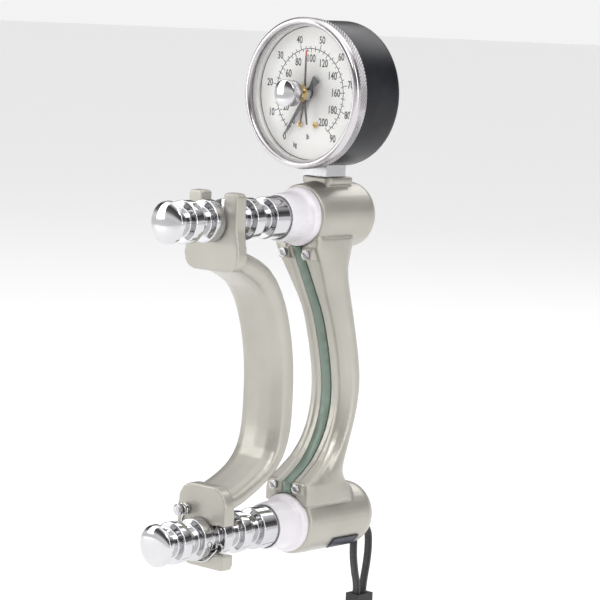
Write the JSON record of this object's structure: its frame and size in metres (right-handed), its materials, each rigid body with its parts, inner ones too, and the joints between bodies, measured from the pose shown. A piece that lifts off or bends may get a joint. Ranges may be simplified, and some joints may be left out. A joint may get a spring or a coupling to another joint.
{
  "type": "hydraulic hand dynamometer",
  "caption": "Hydraulic hand dynamometer: cast bow with a channelled beam, grooved chrome posts, a hooked grip handle that can be moved to other grooves, a round dial gauge and a wrist strap.",
  "frame": {"origin": "the palm point, the rearmost point of the bow's back, on the plane of the two post axes", "axes": "+Y from the dial's face towards the palm, +Z from the lower post to the upper post and the gauge, X across the hand"},
  "size_m": [0.0678, 0.1624, 0.3739],
  "materials": {
    "cast_paint": "satin silver-cream paint on cast metal",
    "chrome": "polished",
    "bezel_chrome": "knurled and plated",
    "nylon": "translucent white, smooth",
    "green_paint": "satin",
    "steel": "plain",
    "brass": "plain",
    "black_enamel": "semi-gloss",
    "slider_plastic": "moulded",
    "pointer_black": "matt",
    "pointer_red": "matt",
    "clear_plastic": "clear",
    "rubber": "matt",
    "dial_white": "matt white with printed scales",
    "label_foil": "plain dark foil",
    "strap_braid": "flat woven braid"
  },
  "bodies": {
    "frame": {"body_casting": "cast_paint", "upper_land_screw_left": "steel", "upper_land_screw_right": "steel", "lower_land_screw_left": "steel", "lower_land_screw_right": "steel", "upper_bushing": "nylon", "lower_bushing": "nylon", "hydraulic_cell": "steel", "diaphragm": "rubber", "gauge_stem": "steel", "gauge_case": "black_enamel", "bezel_ring": "bezel_chrome", "gauge_lens": "clear_plastic", "lens_gasket": "rubber", "lens_bush": "brass", "dial_plate": "dial_white", "dial_screw_left": "brass", "dial_screw_right": "brass", "movement_frame": "brass", "bourdon_tube": "brass", "hairspring": "steel", "label_plate": "label_foil", "wrist_cord": "strap_braid", "cord_slider": "slider_plastic"},
    "grip": {"yoke_beam": "green_paint", "upper_post": "chrome", "lower_post": "chrome", "upper_post_pin": "steel", "lower_post_pin": "steel", "piston": "steel"},
    "handle": {"handle": "cast_paint", "clip_screw": "steel"},
    "clip": {"retaining_clip": "steel"},
    "needle": {"pinion_arbor": "brass", "pointer": "pointer_black"},
    "sector": {"sector_gear": "brass"},
    "link": {"link": "steel", "link_screw": "brass"},
    "peak": {"peak_pointer": "pointer_red", "reset_knob": "bezel_chrome"}
  },
  "joints": [
    {"name": "grip_squeeze", "type": "slide", "parent": "frame", "child": "grip", "axis": [0, 1, 0], "range_m": [0, 0.0015], "stiffness_N_per_m": 8000},
    {"name": "handle_swing", "type": "hinge", "parent": "grip", "child": "handle", "pos_m": [0, 0, 0.077], "axis": [0, 1, 0], "range_deg": [0, 8.5]},
    {"name": "clip_release", "type": "hinge", "parent": "handle", "child": "clip", "pos_m": [-0.0088, 0, -0.0512], "axis": [0, 1, 0], "range_deg": [0, 94]},
    {"name": "pointer_turn", "type": "hinge", "parent": "frame", "child": "needle", "pos_m": [0, 0, 0.1322], "axis": [0, 1, 0], "range_deg": [0, 292]},
    {"name": "sector_turn", "type": "hinge", "parent": "frame", "child": "sector", "pos_m": [0.0116, 0, 0.1206], "axis": [0, 1, 0], "range_deg": [-41, 0]},
    {"name": "link_pull", "type": "slide", "parent": "frame", "child": "link", "axis": [0.7071, 0, 0.7071], "range_m": [0, 0.0035]},
    {"name": "peak_reset", "type": "hinge", "parent": "frame", "child": "peak", "pos_m": [0, 0, 0.1322], "axis": [0, 1, 0], "range_deg": [-145, 145]}
  ],
  "couplings": [
    {"joint": "clip_release", "follows": "handle_swing", "ratio": 11},
    {"joint": "pointer_turn", "follows": "grip_squeeze", "rad_per_m": 3374.3},
    {"joint": "sector_turn", "follows": "grip_squeeze", "rad_per_m": -468.65},
    {"joint": "link_pull", "follows": "grip_squeeze", "ratio": 2.2953}
  ]
}
